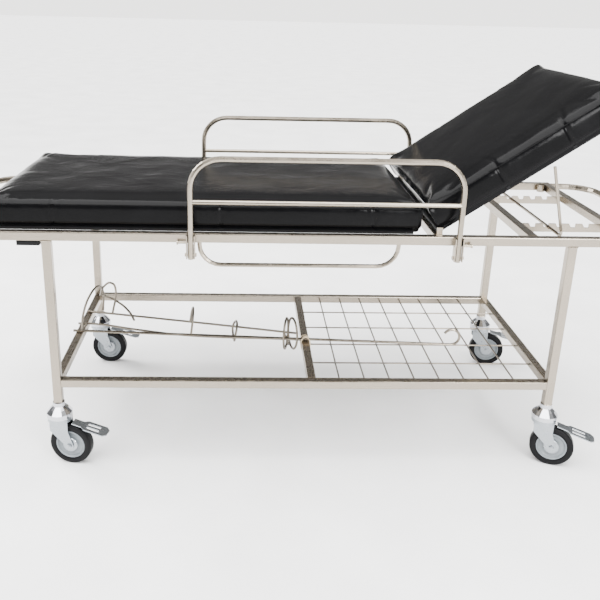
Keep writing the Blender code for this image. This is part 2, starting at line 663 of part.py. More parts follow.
def build_castor(end, side):
    """The swivel group turns about the leg's axis; the wheel turns about its axle."""
    x = ENDS[end] * LEG_X
    y = SIDES[side] * LEG_Y
    key = f"{end}_{side}"
    top = LEG_BOTTOM - GAP
    bore = TUBE / 2 - TUBE_WALL
    race = turned(f"{key}_castor_race", [
        (0.0, top + STEM_LENGTH), (min(STEM_RADIUS, bore - GAP), top + STEM_LENGTH), (STEM_RADIUS, top),
        (RACE_NECK, top), (RACE_NECK, top - RACE_NECK_LENGTH), (RACE_SHOULDER, top - RACE_SHOULDER_DROP),
        (RACE_RADIUS, FORK_CROWN_TOP + RACE_SKIRT), (RACE_RADIUS, FORK_CROWN_TOP + GAP),
        (0.0, FORK_CROWN_TOP + GAP),
    ], CHROME, 16)
    race.location = (x, y, 0)
    swivel = bpy.data.objects.new(f"{key}_swivel", None)
    place(swivel)
    swivel.location = (x, y, 0)
    swivel.rotation_euler = (0, 0, math.radians(CASTOR_TURN[key]))
    inner = WHEEL_WIDTH / 2 + FORK_GAP
    outer = inner + FORK_PLATE
    crown_low = FORK_CROWN_TOP - FORK_CROWN_DEPTH
    crown = rod("crown", (0, 0, crown_low), (0, 0, FORK_CROWN_TOP), FORK_CROWN_RADIUS, ZINC, 24)
    pieces = [crown]
    root = FORK_CROWN_TOP - FORK_CROWN_DEPTH / 3
    foot = WHEEL_RADIUS - FORK_FOOT_DROP
    leg_outline = [(FORK_FRONT, root), (FORK_FRONT, FORK_BEND_Z), (TRAIL + FORK_FOOT, WHEEL_RADIUS),
                   (TRAIL + FORK_TOE, foot), (TRAIL - FORK_TOE, foot), (TRAIL - FORK_FOOT, WHEEL_RADIUS),
                   (FORK_BACK, FORK_BEND_Z), (FORK_BACK, root)]
    for way in (-1, 1):
        cheek = outline_plate("cheek", [leg_outline], FORK_PLATE, ZINC)
        cheek.rotation_euler = (math.pi / 2, 0, 0)
        cheek.location = (0, way * (inner + outer) / 2, 0)
        pieces.append(cheek)
    end_y = outer + NUT_LENGTH + AXLE_STUB
    pieces.append(rod("axle", (TRAIL, -end_y, WHEEL_RADIUS), (TRAIL, end_y, WHEEL_RADIUS), AXLE_RADIUS, ZINC, 16))
    for way in (-1, 1):
        pieces.append(rod("nut", (TRAIL, way * (outer - AXLE_STUB), WHEEL_RADIUS),
                          (TRAIL, way * (outer + NUT_LENGTH), WHEEL_RADIUS), NUT_RADIUS, ZINC, 6))
    fork = weld_together(f"{key}_castor_fork", pieces, (), ZINC)
    smooth(fork)
    fork.parent = swivel
    half = WHEEL_WIDTH / 2
    tyre = turned(f"{key}_tyre", [
        (RIM_RADIUS + GAP, half * 0.86), (WHEEL_RADIUS * 0.93, half), (WHEEL_RADIUS, half * 0.45),
        (WHEEL_RADIUS, -half * 0.45), (WHEEL_RADIUS * 0.93, -half), (RIM_RADIUS + GAP, -half * 0.86),
    ], TYRE, 60)
    hub_half = HUB_WIDTH / 2
    boss = half + BOSS_STANDOFF
    web = hub_half - WEB_SINK
    bore_radius = AXLE_RADIUS + AXLE_CLEARANCE
    hub = turned(f"{key}_hub", [
        (bore_radius, boss), (BOSS_RADIUS, boss), (BOSS_RADIUS + 0.001, web),
        (RIM_RADIUS - RIM_LIP, web), (RIM_RADIUS, hub_half), (RIM_RADIUS, -hub_half),
        (RIM_RADIUS - RIM_LIP, -web), (BOSS_RADIUS + 0.001, -web),
        (BOSS_RADIUS, -boss), (bore_radius, -boss),
    ], HUB, 18)
    for thing in (tyre, hub):
        thing.parent = swivel
        thing.location = (TRAIL, 0, WHEEL_RADIUS)
        thing.rotation_euler = (math.pi / 2, 0, 0)
    pedal_half = PEDAL_WIDTH / 2
    tip = PEDAL_LENGTH
    neck = PEDAL_NECK
    round_off = PEDAL_CORNER
    pedal_outline = [(round_off, -PEDAL_ARM), (neck, -PEDAL_ARM), (neck + round_off, -pedal_half),
                     (tip - round_off, -pedal_half), (tip, -pedal_half + round_off),
                     (tip, pedal_half - round_off), (tip - round_off, pedal_half),
                     (neck + round_off, pedal_half), (neck, PEDAL_ARM), (round_off, PEDAL_ARM)]
    slots = []
    begin = neck + PEDAL_ARM
    stop = tip - PEDAL_TREAD
    for way in (-1, 1):
        low, high = sorted((way * SLOT_INNER, way * SLOT_OUTER))
        slots.append([(begin, low), (stop, low), (stop, high), (begin, high)])
    pedal = outline_plate(f"{key}_brake_pedal", [pedal_outline, *slots], PEDAL_PLATE, ZINC)
    pedal.parent = swivel
    pedal.location = (PEDAL_PIVOT_X, 0, crown_low - GAP - PEDAL_PLATE / 2 - PEDAL_DROP)
    pedal.rotation_euler = (0, math.radians(PEDAL_DIP), 0)


def centre_on_floor():
    """The origin is on the floor, under the middle of the whole object's box."""
    bpy.context.view_layer.update()
    shown = bpy.context.evaluated_depsgraph_get()
    corners = []
    for thing in bpy.data.objects:
        if thing.type in ("MESH", "CURVE"):
            solid = thing.evaluated_get(shown)
            corners.extend(thing.matrix_world @ vertex.co for vertex in solid.to_mesh().vertices)
            solid.to_mesh_clear()
    middle_x = (min(point.x for point in corners) + max(point.x for point in corners)) / 2
    middle_y = (min(point.y for point in corners) + max(point.y for point in corners)) / 2
    for thing in bpy.data.objects:
        if thing.parent is None:
            thing.location.x -= middle_x
            thing.location.y -= middle_y


def build_all():
    build_frame()
    build_shelf()
    build_racks()
    build_prop()
    build_socket()
    build_accessory_rails()
    build_side_rails()
    build_flat_mattress()
    build_backrest()
    build_stowed_gear()
    for end in ENDS:
        for side in SIDES:
            build_castor(end, side)
    centre_on_floor()


build_all()
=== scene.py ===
"""Looks of a hospital stretcher trolley: brushed tube, black vinyl pads, wire mesh, cage and castors."""
import json
import math

import bmesh
import bpy
import numpy as np
from mathutils import Matrix, Vector
from mathutils.bvhtree import BVHTree


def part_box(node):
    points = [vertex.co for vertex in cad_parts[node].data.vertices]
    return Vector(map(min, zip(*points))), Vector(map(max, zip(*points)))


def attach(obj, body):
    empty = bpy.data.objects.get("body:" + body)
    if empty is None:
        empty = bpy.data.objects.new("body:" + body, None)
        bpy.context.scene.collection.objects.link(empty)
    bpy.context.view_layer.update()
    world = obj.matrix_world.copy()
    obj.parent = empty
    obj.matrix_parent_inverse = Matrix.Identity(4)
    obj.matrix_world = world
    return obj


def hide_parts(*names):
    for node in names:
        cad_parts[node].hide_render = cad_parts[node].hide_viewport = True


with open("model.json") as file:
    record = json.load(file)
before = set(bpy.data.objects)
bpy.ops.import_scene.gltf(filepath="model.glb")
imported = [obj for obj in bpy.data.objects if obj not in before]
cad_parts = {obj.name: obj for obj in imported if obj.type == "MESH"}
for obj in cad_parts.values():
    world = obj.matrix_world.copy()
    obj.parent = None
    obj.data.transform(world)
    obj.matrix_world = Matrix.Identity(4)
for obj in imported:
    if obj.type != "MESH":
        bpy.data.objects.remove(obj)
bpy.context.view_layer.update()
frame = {"nodes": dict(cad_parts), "record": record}

bl_info = {
    "name": "Stretcher Trolley Looks",
    "version": (1, 0, 0),
    "blender": (4, 5, 0),
    "location": "View3D > Sidebar > Trolley",
    "description": "Dresses a stretcher trolley's frame with pads, finishes and fine fittings",
    "category": "Object",
}

NODES = frame["nodes"]
CORNERS = [f"{end}_{side}" for end in ("foot", "head") for side in ("left", "right")]


def joint(name):
    return next(j for j in frame["record"]["behaviour"]["joints"] if j["name"] == name)


HINGE = Vector(joint("backrest_tilt")["pos_m"])
SHELF_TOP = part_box("middle_shelf_bar")[1][2]
MIDDLE_Y = HINGE.y
RAIL_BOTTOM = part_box("left_top_rail")[0][2]

GRAIN_STRETCH = {"x": (3.0, 260.0, 260.0), "y": (260.0, 3.0, 260.0), "z": (260.0, 260.0, 3.0)}
PLAIN_SLOTS = ("chrome", "zinc", "tyre", "hub", "vinyl", "board")
MERGE_WIRE = 0.00001          # wire points nearer than this are one
MERGE_TURNED = 0.00002        # and those of a turned piece
TURN_STEPS = 64               # facets round a turned piece

PAD_CORNER = 0.045            # radius of a pad's upright corners
PAD_BASE = 0.004              # the lowest part of a pad, which stays on its board
CLOTH_FRAMES = 20
WELT_SHARE = 0.80             # share of the pad's height at which its welt is sewn
WELT_RAYS = 260
WELT_STEP = 0.022
SEAM_WIDTH = 0.0045
SEAM_DEPTH = 0.0042           # how far a seam draws the pad's side in
SEAM_DIP = 0.0030             # and how far it draws the top down
SEAM_REACH = 0.06             # width of the band along the side in which a seam shows
PUCKERS = range(-2, 3)        # the small folds that fan out from a seam
PUCKER_GAP = 0.016
PUCKER_DEPTH = 0.0011
WELT_GROOVE = 0.0016          # how far the welt's stitching draws the cover in
WAVES = 9
WAVE_HEIGHT = 0.0016          # unevenness of the top
RIPPLE_DEPTH = 0.0012         # unevenness of the two ends
RIPPLE_REACH = 0.05

TYRE_HALF = 0.0150            # half of the tyre's width
TYRE_OUTER = 0.0625
TYRE_INNER = 0.0440
TYRE_ROUND = 0.0055           # radius of the tyre's shoulders
HUB_HALF = ((0.0046, 0.0165), (0.0115, 0.0165), (0.0128, 0.0150), (0.0135, 0.0085),
            (0.0160, 0.0070), (0.0250, 0.0062), (0.0355, 0.0070), (0.0375, 0.0085),
            (0.0390, 0.0125), (0.0405, 0.0138), (0.0428, 0.0138), (0.0436, 0.0125))
THREAD_GUARD = ((0.010, 0.0168), (0.0205, 0.0160), (0.0225, 0.0140), (0.0225, 0.0125),
                (0.010, 0.0125))

CAGE_LIFT = 0.0003            # gap between the cage's wire and the shelf
CAGE_MIDDLE_X = -0.35
ARC_STEPS = 8
# the cage's half turns: share of the rods' length, bow along them, rise
CAGE_ARCS = ((0.50, 0.010, 0.072), (0.70, 0.010, 0.034), (0.70, 0.0, -0.026), (0.935, 0.010, -0.028))
# the cage's bent wires: each point's offset from where the wire is placed
CAGE_HANDLE = ((0, 0, 0), (0.004, 0.010, 0.050), (0.022, 0.055, 0.105), (0.040, 0.110, 0.112),
               (0.045, 0.150, 0.070), (0.040, 0.158, 0.004))
CAGE_HOOP = ((0.0, 0.05, 0.045), (0.020, 0.02, 0.090), (0.052, 0, 0.108), (0.062, 0, 0.085),
             (0.052, -0.02, 0.010))
CAGE_STRUT = ((0.012, 0.03, 0.052), (0.060, 0, 0.046), (0.110, -0.04, 0.024), (0.130, -0.06, 0.0))
CAGE_KEEL = ((0, 0, 0), (0.06, -0.004, 0), (0.20, -0.046, 0), (0.36, -0.085, 0), (0.66, -0.106, 0))
CAGE_TAIL = ((0.030, 0, 0), (0.018, -0.02, -0.014), (0.012, -0.02, -0.032), (0.024, -0.02, -0.036))
RING_POINTS = 20              # points round each of the cage's two closed rings
RING_RISE = 0.052
RING_REACH = 0.036

TIE_TURNS = 5
TIE_POINTS = 14
TIE_PITCH = 0.007
TIE_WAVER = 0.006
TIE_STRAND = 0.0013

WELD_STEPS = 5                # ripples of a weld bead on each side of a square tube
BUFFER_SIZE = (0.062, 0.022, 0.014)
BUFFER_GAP = 0.004            # from the leg
BUFFER_DROP = 0.0003          # from the rail above it
BUFFER_ROUND = 0.0025

FLOOR_SIZE = 90.0
FLOOR_DROP = 0.0005
CAMERA_SPOT = (-0.1901, MIDDLE_Y - 2.2197, 1.3122)


class TrolleySizes(bpy.types.PropertyGroup):
    """Sizes that a user would change."""
    voxel: bpy.props.FloatProperty(name="Pad voxel", description="Mesh size of the padded pieces",
                                   default=0.0085, unit="LENGTH")
    puff: bpy.props.FloatProperty(name="Pad puff", description="Most that the padding may swell",
                                  default=0.012, unit="LENGTH")
    welt: bpy.props.FloatProperty(name="Welt", description="Radius of the sewn welt",
                                  default=0.0013, unit="LENGTH")
    tilt: bpy.props.FloatProperty(name="Backrest tilt", description="Above level, as it stands",
                                  default=math.radians(34.5), subtype="ANGLE")
    wire: bpy.props.FloatProperty(name="Cage wire", description="Radius of the cage's wire",
                                  default=0.0037, unit="LENGTH")
    bead: bpy.props.FloatProperty(name="Weld bead", description="Radius of a weld bead",
                                  default=0.0016, unit="LENGTH")


class TrolleyColours(bpy.types.PropertyGroup):
    """Colours that a user would change."""
    steel: bpy.props.FloatVectorProperty(name="Steel", description="Brushed stainless steel", size=3,
                                         subtype="COLOR", default=(0.30, 0.262, 0.212))
    vinyl: bpy.props.FloatVectorProperty(name="Vinyl", description="Cover of the pads", size=3,
                                         subtype="COLOR", default=(0.0022, 0.0022, 0.0025))
    zinc: bpy.props.FloatVectorProperty(name="Zinc", description="Pressed castor forks", size=3,
                                        subtype="COLOR", default=(0.34, 0.365, 0.39))
    tyre: bpy.props.FloatVectorProperty(name="Tyre", description="Castor tyres", size=3,
                                        subtype="COLOR", default=(0.004, 0.004, 0.0045))
    hub: bpy.props.FloatVectorProperty(name="Hub", description="Castor hubs", size=3,
                                       subtype="COLOR", default=(0.17, 0.19, 0.205))
    tie: bpy.props.FloatVectorProperty(name="Tie", description="Raffia tie", size=3,
                                       subtype="COLOR", default=(0.74, 0.60, 0.40))
    floor: bpy.props.FloatVectorProperty(name="Floor", description="Studio floor", size=3,
                                         subtype="COLOR", default=(0.93, 0.93, 0.93))


# --- node helpers -------------------------------------------------------------------------------

def add_node(tree, kind, values=None, links=None, **settings):
    """Adds one shader node, sets its sockets' values and links sources into them."""
    made = tree.nodes.new(kind)
    for key, value in settings.items():
        setattr(made, key, value)
    for key, value in (values or {}).items():
        made.inputs[key].default_value = value
    for key, source in (links or {}).items():
        tree.links.new(source, made.inputs[key])
    return made


def new_group(name, inputs, outputs):
    """A shader node group with these sockets, and its input and output nodes."""
    tree = bpy.data.node_groups.new(name, "ShaderNodeTree")
    for label, kind, default in inputs:
        made = tree.interface.new_socket(label, in_out="INPUT", socket_type=kind)
        if default is not None:
            made.default_value = default
    for label, kind in outputs:
        tree.interface.new_socket(label, in_out="OUTPUT", socket_type=kind)
    return tree, tree.nodes.new("NodeGroupInput"), tree.nodes.new("NodeGroupOutput")


def grain_group():
    """Fine brushed streaks along one axis, with soft blotches: values round 0.5."""
    tree, source, sink = new_group(
        "brushed_grain",
        [("Vector", "NodeSocketVector", None), ("Stretch", "NodeSocketVector", (4.0, 300.0, 300.0))],
        [("Streaks", "NodeSocketFloat"), ("Blotches", "NodeSocketFloat")],
    )
    scaled = add_node(tree, "ShaderNodeVectorMath",
                      links={0: source.outputs["Vector"], 1: source.outputs["Stretch"]},
                      operation="MULTIPLY")
    streaks = add_node(tree, "ShaderNodeTexNoise", {"Scale": 3.0, "Detail": 4.0},
                       {"Vector": scaled.outputs[0]})
    blotches = add_node(tree, "ShaderNodeTexNoise", {"Scale": 7.0, "Detail": 3.0},
                        {"Vector": source.outputs["Vector"]})
    tree.links.new(streaks.outputs["Fac"], sink.inputs["Streaks"])
    tree.links.new(blotches.outputs["Fac"], sink.inputs["Blotches"])
    return tree


def smudge_group():
    """Handling marks: faint fingerprints and wiped patches."""
    tree, source, sink = new_group(
        "smudges",
        [("Vector", "NodeSocketVector", None), ("Size", "NodeSocketFloat", 18.0)],
        [("Mask", "NodeSocketFloat")],
    )
    patches = add_node(tree, "ShaderNodeTexNoise", {"Detail": 5.0, "Roughness": 0.65},
                       {"Vector": source.outputs["Vector"], "Scale": source.outputs["Size"]})
    mask = add_node(tree, "ShaderNodeMapRange", {"From Min": 0.45, "From Max": 0.75},
                    {"Value": patches.outputs["Fac"]})
    tree.links.new(mask.outputs["Result"], sink.inputs["Mask"])
    return tree


def leather_group():
    """Coated cloth: the heights of a fine pebble grain and of long soft creases."""
    tree, source, sink = new_group(
        "vinyl_grain",
        [("Vector", "NodeSocketVector", None), ("Pebble", "NodeSocketFloat", 700.0),
         ("Crease", "NodeSocketFloat", 9.0)],
        [("Grain", "NodeSocketFloat"), ("Creases", "NodeSocketFloat")],
    )
    pebble = add_node(tree, "ShaderNodeTexVoronoi", {},
                      {"Vector": source.outputs["Vector"], "Scale": source.outputs["Pebble"]})
    crease = add_node(tree, "ShaderNodeTexNoise", {"Detail": 3.0, "Roughness": 0.5, "Distortion": 0.6},
                      {"Vector": source.outputs["Vector"], "Scale": source.outputs["Crease"]})
    tree.links.new(pebble.outputs["Distance"], sink.inputs["Grain"])
    tree.links.new(crease.outputs["Fac"], sink.inputs["Creases"])
    return tree


GROUPS = {}


def group(name):
    makers = {"brushed_grain": grain_group, "smudges": smudge_group, "vinyl_grain": leather_group}
    if name not in GROUPS:
        GROUPS[name] = makers[name]()
    return GROUPS[name]


def start_material(name, values):
    """A new material with its Principled BSDF's constant sockets set, and Object coordinates."""
    material = bpy.data.materials.new(name)
    material.use_nodes = True
    tree = material.node_tree
    shader = tree.nodes["Principled BSDF"]
    for key, value in values.items():
        shader.inputs[key].default_value = value
    place = add_node(tree, "ShaderNodeTexCoord")
    return material, tree, shader, place.outputs["Object"]


def place_group(tree, name, values, links):
    made = add_node(tree, "ShaderNodeGroup", node_tree=group(name))
    for key, value in values.items():
        made.inputs[key].default_value = value
    for key, source in links.items():
        tree.links.new(source, made.inputs[key])
    return made


def mix_colours(tree, fac, dark, light):
    made = add_node(tree, "ShaderNodeMix", data_type="RGBA")
    made.inputs["A"].default_value = (*dark, 1.0)
    made.inputs["B"].default_value = (*light, 1.0)
    tree.links.new(fac, made.inputs["Factor"])
    return made.outputs["Result"]


def ranged(tree, value, low, high, start=0.3, stop=0.7):
    limits = {"From Min": start, "From Max": stop, "To Min": low, "To Max": high}
    made = add_node(tree, "ShaderNodeMapRange", limits, {"Value": value})
    return made.outputs["Result"]


def bump(tree, height, strength, distance, before=None):
    made = add_node(tree, "ShaderNodeBump", {"Strength": strength, "Distance": distance},
                    {"Height": height})
    if before:
        tree.links.new(before, made.inputs["Normal"])
    return made.outputs["Normal"]


def tint(colour, share):
    return tuple(min(1.0, c * share) for c in colour)


def metal_material(name, colour, stretch, rough, spread=0.10):
    """Brushed or plated metal: streaks drive roughness and bump, blotches tint it, smudges raise its
    roughness.
    """
    material, tree, shader, spot = start_material(name, {"Metallic": 1.0})
    grain = place_group(tree, "brushed_grain", {"Stretch": stretch}, {"Vector": spot})
    smudge = place_group(tree, "smudges", {"Size": 26.0}, {"Vector": spot})
    tone = mix_colours(tree, grain.outputs["Blotches"], tint(colour, 0.93), tint(colour, 1.07))
    tree.links.new(tone, shader.inputs["Base Color"])
    streaks = ranged(tree, grain.outputs["Streaks"], rough - spread / 2, rough + spread / 2)
    marks = ranged(tree, smudge.outputs["Mask"], 0.0, 0.09, 0.0, 1.0)
    total = add_node(tree, "ShaderNodeMath", links={0: streaks, 1: marks}, operation="ADD")
    tree.links.new(total.outputs[0], shader.inputs["Roughness"])
    tree.links.new(bump(tree, grain.outputs["Streaks"], 0.04, 0.0001), shader.inputs["Normal"])
    return material


def vinyl_material(name, colour):
    """Glossy coated cloth with a fine grain, soft creases and wiped patches."""
    material, tree, shader, spot = start_material(name, {"Metallic": 0.0, "Specular IOR Level": 0.07})
    skin = place_group(tree, "vinyl_grain", {"Pebble": 620.0, "Crease": 10.0}, {"Vector": spot})
    smudge = place_group(tree, "smudges", {"Size": 9.0}, {"Vector": spot})
    tone = mix_colours(tree, smudge.outputs["Mask"], colour, tint(colour, 1.5))
    tree.links.new(tone, shader.inputs["Base Color"])
    wiped = ranged(tree, smudge.outputs["Mask"], 0.17, 0.27, 0.0, 1.0)
    tree.links.new(wiped, shader.inputs["Roughness"])
    soft = bump(tree, skin.outputs["Creases"], 0.35, 0.006)
    tree.links.new(bump(tree, skin.outputs["Grain"], 0.10, 0.0004, soft), shader.inputs["Normal"])
    return material


def speckled_material(name, colour, rough, pebble, strength, values=None):
    """Moulded rubber, plastic, paint or fibre: a fine speckle in colour and bump."""
    material, tree, shader, spot = start_material(name, {"Metallic": 0.0, **(values or {})})
    speckle = add_node(tree, "ShaderNodeTexNoise", {"Scale": pebble, "Detail": 4.0}, {"Vector": spot})
    smudge = place_group(tree, "smudges", {"Size": 34.0}, {"Vector": spot})
    tone = mix_colours(tree, speckle.outputs["Fac"], tint(colour, 0.8), tint(colour, 1.25))
    tree.links.new(tone, shader.inputs["Base Color"])
    worn = ranged(tree, smudge.outputs["Mask"], rough, rough + 0.15, 0.0, 1.0)
    tree.links.new(worn, shader.inputs["Roughness"])
    tree.links.new(bump(tree, speckle.outputs["Fac"], strength, 0.0006), shader.inputs["Normal"])
    return material


MATERIALS = {}


def material(name):
    """Each finish, made once."""
    if name in MATERIALS:
        return MATERIALS[name]
    colours = bpy.context.scene.trolley_colours
    if name.startswith("steel_"):
        made = metal_material(name, colours.steel, GRAIN_STRETCH[name[-1]], 0.27)
    elif name == "wire":
        made = metal_material(name, tint(colours.steel, 0.62), (90.0, 90.0, 90.0), 0.30)
    elif name == "chrome":
        made = metal_material(name, (0.52, 0.53, 0.56), (40.0, 40.0, 40.0), 0.10, 0.04)
    elif name == "zinc":
        made = metal_material(name, colours.zinc, (60.0, 60.0, 60.0), 0.30, 0.14)
    elif name == "vinyl":
        made = vinyl_material(name, colours.vinyl)
    elif name == "tyre":
        made = speckled_material(name, colours.tyre, 0.42, 240.0, 0.25, {"Specular IOR Level": 0.10})
    elif name == "hub":
        made = speckled_material(name, colours.hub, 0.30, 90.0, 0.08)
    elif name == "tie":
        made = speckled_material(name, colours.tie, 0.55, 600.0, 0.6)
    elif name == "black_plastic":
        made = speckled_material(name, (0.005, 0.005, 0.0055), 0.38, 300.0, 0.15,
                                 {"Specular IOR Level": 0.10})
    else:
        made = speckled_material(name, (0.006, 0.006, 0.0065), 0.5, 160.0, 0.2,
                                 {"Specular IOR Level": 0.10})
    MATERIALS[name] = made
    return made


def tube_axis(node):
    """The way a node's grain runs: along its longest side."""
    low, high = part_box(node)
    sides = [high[i] - low[i] for i in range(3)]
    return "xyz"[sides.index(max(sides))]


# --- modelling helpers --------------------------------------------------------------------------

def deselect_all():
    bpy.ops.object.select_all(action="DESELECT")


def edit(piece, *steps):
    """Runs each step in edit mode with everything selected first."""
    bpy.context.view_layer.objects.active = piece
    bpy.ops.object.mode_set(mode="EDIT")
    for step in steps:
        bpy.ops.mesh.select_all(action="SELECT")
        step()
    bpy.ops.object.mode_set(mode="OBJECT")


def only(piece):
    deselect_all()
    piece.select_set(True)
    bpy.context.view_layer.objects.active = piece


def apply_modifier(piece, name, kind, **settings):
    only(piece)
    made = piece.modifiers.new(name, kind)
    for key, value in settings.items():
        setattr(made, key, value)
    bpy.ops.object.modifier_apply(modifier=made.name)


def finish_piece(piece, name, body, finish, angle=None):
    """Applies the piece's place, names it, gives it its finish, and lets it ride."""
    only(piece)
    bpy.ops.object.transform_apply(location=True, rotation=True, scale=True)
    piece.name = name
    piece.data.name = name
    piece.data.materials.clear()
    piece.data.materials.append(material(finish))
    bpy.ops.object.shade_smooth()
    if angle:
        bpy.ops.object.shade_smooth_by_angle(angle=math.radians(angle))
    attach(piece, body)


def wire_piece(runs, radius, resolution=3, cyclic=False):
    """A mesh of round wires, each a smooth curve through its points."""
    curve = bpy.data.curves.new("wire", "CURVE")
    curve.dimensions = "3D"
    curve.bevel_depth = radius
    curve.bevel_resolution = resolution
    curve.resolution_u = 5
    curve.use_fill_caps = True
    for run in runs:
        line = curve.splines.new("BEZIER")
        line.bezier_points.add(len(run) - 1)
        for spot, point in zip(line.bezier_points, run):
            spot.co = point
            spot.handle_left_type = "AUTO"
            spot.handle_right_type = "AUTO"
        line.use_cyclic_u = cyclic
    made = bpy.data.objects.new("wire", curve)
    bpy.context.scene.collection.objects.link(made)
    only(made)
    bpy.ops.object.convert(target="MESH")
    piece = bpy.context.view_layer.objects.active
    edit(piece, lambda: bpy.ops.mesh.remove_doubles(threshold=MERGE_WIRE))
    return piece


def turned_piece(profile):
    """A closed ring or disc spun about Z from its (radius, height) profile."""
    mesh = bpy.data.meshes.new("turned")
    count = len(profile)
    edges = [(i, (i + 1) % count) for i in range(count)]
    mesh.from_pydata([(r, 0.0, z) for r, z in profile], edges, [])
    piece = bpy.data.objects.new("turned", mesh)
    bpy.context.scene.collection.objects.link(piece)
    only(piece)
    edit(
        piece,
        lambda: bpy.ops.mesh.spin(steps=TURN_STEPS, angle=math.tau, center=(0, 0, 0), axis=(0, 0, 1)),
        lambda: bpy.ops.mesh.remove_doubles(threshold=MERGE_TURNED),
        lambda: bpy.ops.mesh.normals_make_consistent(inside=False),
    )
    return piece


def read_points(piece):
    points = np.empty(len(piece.data.vertices) * 3)
    piece.data.vertices.foreach_get("co", points)
    return points.reshape(-1, 3)


def write_points(piece, points):
    piece.data.vertices.foreach_set("co", points.ravel())
    piece.data.update()


# --- pads -----------------------------------------------------------------------------------------

def inflate(piece, cap):
    """Blows the pad up like foam in a tight cover; its base stays on the board."""
    before = read_points(piece)
    low = before[:, 2].min()
    base = piece.vertex_groups.new(name="base")
    base.add([i for i, z in enumerate(before[:, 2]) if z < low + PAD_BASE], 1.0, "REPLACE")
    cloth = piece.modifiers.new("cover", "CLOTH")
    cloth.settings.quality = 4
    cloth.settings.use_pressure = True
    cloth.settings.uniform_pressure_force = 4.0
    cloth.settings.vertex_group_mass = "base"
    cloth.settings.effector_weights.gravity = 0.0
    cloth.settings.tension_stiffness = 25.0
    cloth.settings.compression_stiffness = 25.0
    scene = bpy.context.scene
    for number in range(1, CLOTH_FRAMES + 1):
        scene.frame_set(number)
    only(piece)
    bpy.ops.object.modifier_apply(modifier=cloth.name)
    scene.frame_set(1)
    after = read_points(piece)
    move = after - before
    length = np.linalg.norm(move, axis=1, keepdims=True)
    write_points(piece, before + move * np.minimum(1.0, cap / np.maximum(length, 1e-9)))
    piece.vertex_groups.clear()


def pad_shape(length, width, height):
    """A level pad from x = 0 to its length, with its base at z = 0, a little smaller than its cover."""
    sizes = bpy.context.scene.trolley_sizes
    shrink = sizes.puff * 0.45
    deselect_all()
    bpy.ops.mesh.primitive_cube_add(size=1.0, location=(length / 2, 0, (height - shrink) / 2))
    piece = bpy.context.view_layer.objects.active
    piece.scale = (length - 2 * shrink, width - 2 * shrink, height - shrink)
    bpy.ops.object.transform_apply(location=True, rotation=True, scale=True)

    def round_corners():
        bpy.ops.mesh.select_all(action="DESELECT")
        bm = bmesh.from_edit_mesh(piece.data)
        for edge in bm.edges:
            upright = abs(edge.verts[0].co.z - edge.verts[1].co.z) > height / 2
            edge.select_set(upright)
        bmesh.update_edit_mesh(piece.data)
        bpy.ops.mesh.bevel(offset=PAD_CORNER, segments=6)

    def round_edges():
        bpy.ops.mesh.select_all(action="DESELECT")
        bm = bmesh.from_edit_mesh(piece.data)
        for edge in bm.edges:
            level = abs(edge.verts[0].co.z - edge.verts[1].co.z) < 0.001
            rim = len(edge.link_faces) == 2 and edge.calc_face_angle() > 1.0
            edge.select_set(level and rim)
        bmesh.update_edit_mesh(piece.data)
        bpy.ops.mesh.bevel(offset=height * 0.24, segments=5)

    edit(piece, round_corners, round_edges)
    apply_modifier(piece, "remesh", "REMESH", mode="VOXEL", voxel_size=sizes.voxel)
    inflate(piece, sizes.puff)
    apply_modifier(piece, "fine", "SUBSURF", levels=1, render_levels=1)
    return piece


def fade(distance, width):
    return np.exp(-(distance / width) ** 2)


def sew(piece, length, width, height, seams, creases, seed):
    """Sews upright seams into the pad's sides, with puckers at the welt, and adds soft creases."""
    points = read_points(piece)
    x, y, z = points[:, 0], points[:, 1], points[:, 2]
    middle = np.array([length / 2, 0.0, height / 2])
    away = points - middle
    side = np.clip((np.abs(y) - width / 2 + SEAM_REACH) / SEAM_REACH, 0, 1)
    upper = np.clip(z / height, 0, 1)
    inward_y = -np.sign(away[:, 1])
    inward_z = -np.sign(away[:, 2])
    rng = np.random.default_rng(seed)
    for spot in seams:
        near = fade(x - spot, SEAM_WIDTH)
        points[:, 1] += inward_y * SEAM_DEPTH * near * side
        points[:, 2] += inward_z * SEAM_DIP * near * side * np.clip((upper - 0.6) * 3, 0, 1)
        for k in PUCKERS:
            slant = spot + k * PUCKER_GAP + (z - height) * k * 0.25
            fold = fade(x - slant, 0.005)
            points[:, 1] += inward_y * PUCKER_DEPTH * fold * side * fade(z - height * 0.85, 0.03)
    rim = fade(z - height * WELT_SHARE, 0.010) * side
    points[:, 1] += inward_y * WELT_GROOVE * rim
    for spot, lean, depth, reach in creases:
        line = x - spot - lean * (np.abs(y) - width / 2)
        fold = -fade(line, 0.006) + 0.7 * fade(line - 0.013, 0.008)
        edge = fade(np.abs(y) - width / 2 + 0.02, reach)
        points[:, 2] += depth * fold * edge * np.clip((upper - 0.5) * 2, 0, 1)
        points[:, 1] += -inward_y * depth * 0.8 * fold * side * fade(z - height, 0.05)
    wave = np.zeros(len(points))
    for _ in range(WAVES):
        turn = rng.uniform(0, math.tau)
        rate = rng.uniform(14, 46)
        along = x * math.cos(turn) + y * math.sin(turn)
        wave += np.sin(rate * along + rng.uniform(0, 6.28)) / WAVES
    points[:, 2] += WAVE_HEIGHT * wave * np.clip((upper - 0.5) * 2, 0, 1)
    ends = np.clip((np.abs(x - length / 2) - length / 2 + RIPPLE_REACH) / RIPPLE_REACH, 0, 1)
    ripple = np.sin(y * 58 + np.sin(y * 21) * 2)
    points[:, 0] += np.sign(away[:, 0]) * RIPPLE_DEPTH * ripple * ends * upper
    write_points(piece, points)


